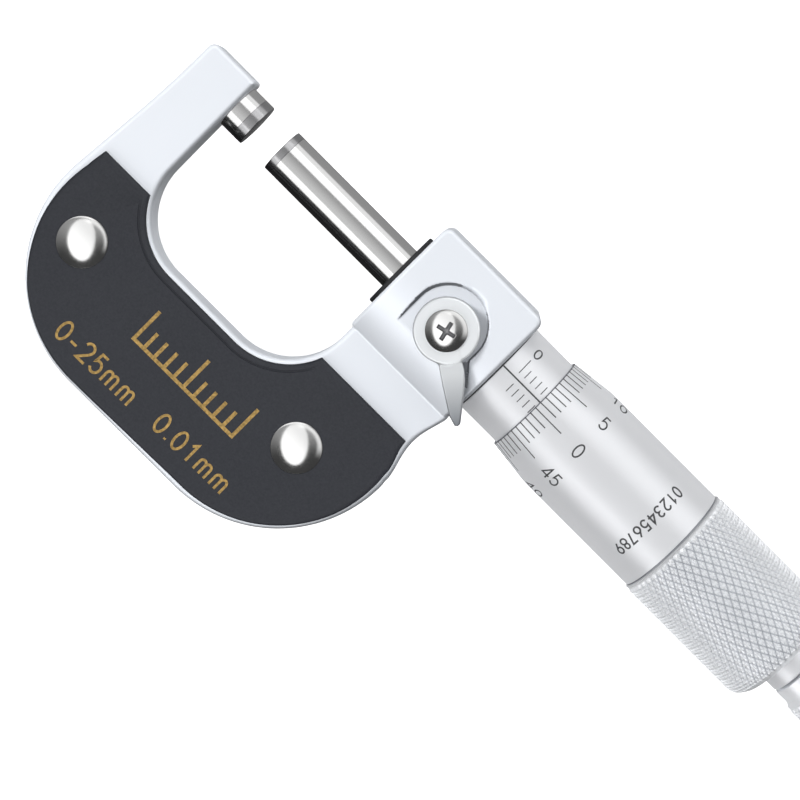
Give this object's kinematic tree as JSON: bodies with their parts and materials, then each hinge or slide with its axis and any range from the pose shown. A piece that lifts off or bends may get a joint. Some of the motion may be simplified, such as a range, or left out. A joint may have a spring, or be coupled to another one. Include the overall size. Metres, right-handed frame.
{
  "type": "outside micrometer",
  "caption": "U-framed hand micrometer: a screw-driven spindle closes on a fixed anvil, with a graduated sleeve and thimble, ratchet stop and lever lock.",
  "frame": {"origin": "centre of the anvil's measuring face, on the spindle axis", "axes": "+X along the spindle axis from the anvil towards the ratchet, +Y away from the bottom of the U frame, +Z out of the front, towards the lock lever"},
  "size_m": [0.1293, 0.0506, 0.02],
  "materials": {
    "satin_chrome": "satin",
    "cover_black": "fine-grained",
    "polished_chrome": "mirror-polished",
    "ground_steel": "finely ground",
    "carbide": "lapped",
    "seal_rubber": "matt",
    "turned_steel": "turned",
    "scale_chrome": "satin",
    "brass": "turned",
    "spring_steel": "drawn"
  },
  "bodies": {
    "root": {"frame": "satin_chrome", "front_cover": "cover_black", "rear_cover": "cover_black", "cover_studs": "polished_chrome", "cover_stud_nuts": "polished_chrome", "anvil": "ground_steel", "anvil_tip": "carbide", "spindle_seal": "seal_rubber", "threaded_bush": "turned_steel", "adjusting_nut": "turned_steel"},
    "sleeve": {"graduated_sleeve": "scale_chrome"},
    "spindle_nose": {"spindle_tip": "carbide"},
    "thimble_group": {"spindle": "ground_steel", "thimble": "scale_chrome", "thimble_coupling": "turned_steel", "ratchet_base": "scale_chrome", "ratchet_clutch": "turned_steel", "ratchet_spring": "spring_steel", "ratchet_end_screw": "turned_steel"},
    "ratchet": {"ratchet_knob": "scale_chrome"},
    "lever": {"lock_lever": "satin_chrome", "lock_lever_screw": "polished_chrome", "lock_stud": "turned_steel"},
    "pad": {"lock_pad": "brass"}
  },
  "joints": [
    {"name": "spindle_travel", "type": "slide", "parent": "root", "child": "spindle_nose", "axis": [1, 0, 0], "range_m": [-0.00451, 0.02049]},
    {"name": "thimble_turn", "type": "hinge", "parent": "spindle_nose", "child": "thimble_group", "pos_m": [0, 0, 0], "axis": [1, 0, 0], "range_deg": [-3247.2, 14752.8]},
    {"name": "ratchet_turn", "type": "hinge", "parent": "thimble_group", "child": "ratchet", "pos_m": [0.1025, 0, 0], "axis": [1, 0, 0], "continuous": true},
    {"name": "lock_lever_turn", "type": "hinge", "parent": "root", "child": "lever", "pos_m": [0.0368, -0.0009, 0.008], "axis": [0, 0, 1], "range_deg": [-60, 0]},
    {"name": "lock_pad_press", "type": "slide", "parent": "root", "child": "pad", "axis": [0, 0, -1], "range_m": [0, 0.00008]},
    {"name": "sleeve_adjust", "type": "hinge", "parent": "root", "child": "sleeve", "pos_m": [0.0485, 0, 0], "axis": [1, 0, 0], "range_deg": [-10, 10]}
  ],
  "couplings": [
    {"joint": "thimble_turn", "follows": "spindle_travel", "rad_per_m": 12566},
    {"joint": "lock_pad_press", "follows": "lock_lever_turn", "m_per_rad": -0.000076394}
  ]
}
